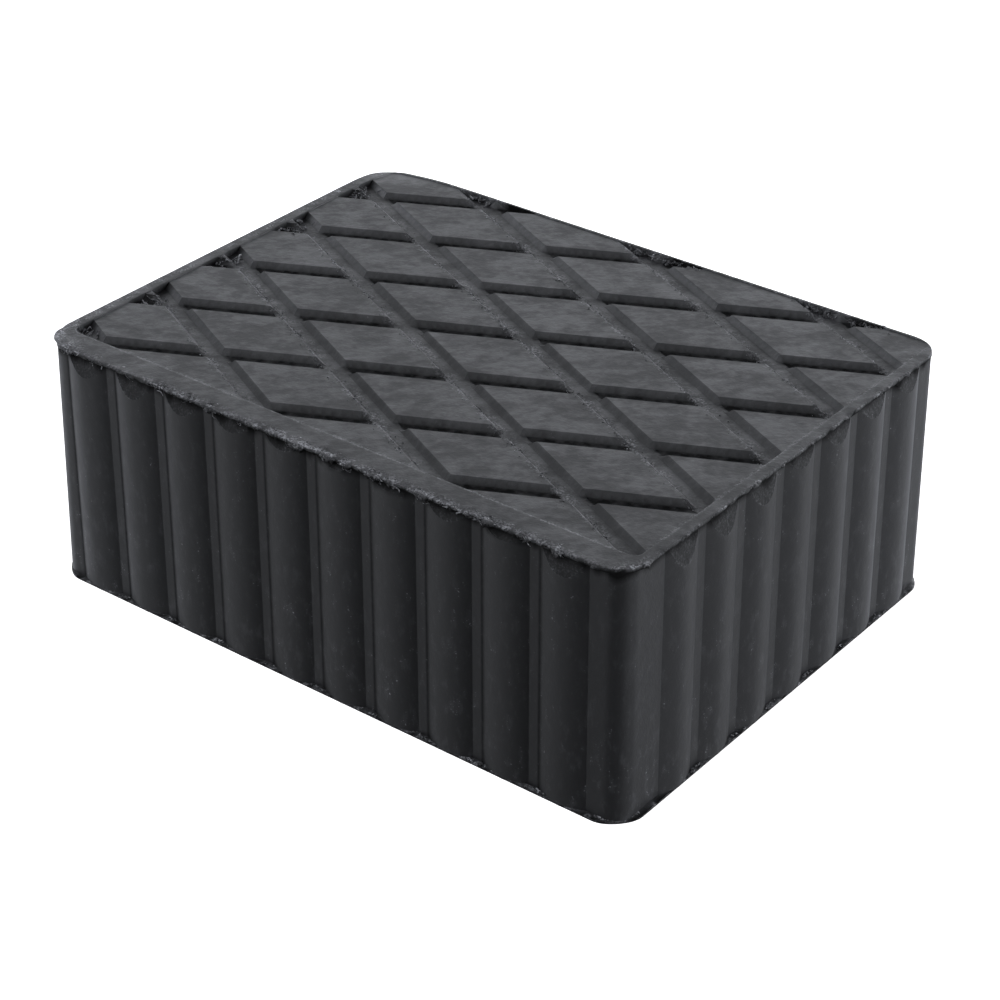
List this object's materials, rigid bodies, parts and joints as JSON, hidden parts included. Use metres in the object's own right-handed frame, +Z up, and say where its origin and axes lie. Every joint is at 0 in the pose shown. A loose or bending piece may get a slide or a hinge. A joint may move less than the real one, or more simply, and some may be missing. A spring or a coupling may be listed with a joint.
{
  "type": "lift pad",
  "caption": "Solid rubber block with a grooved diamond tread and ribbed sides, set between a lift arm or jack and the load to spread it and stop it slipping.",
  "frame": {"origin": "centre of the flat underside, in the middle of the box over the rib crests", "axes": "+Z up through the tread; X along the long side, +X towards the end with the wide plain front corner; Y along the short side, -Y towards the face with the wide tread border"},
  "size_m": [0.16, 0.12, 0.06],
  "materials": {
    "rubber": "moulded black rubber, dull sheen, dusty and scuffed"
  },
  "bodies": {
    "root": {"rubber_block": "rubber"}
  },
  "joints": []
}
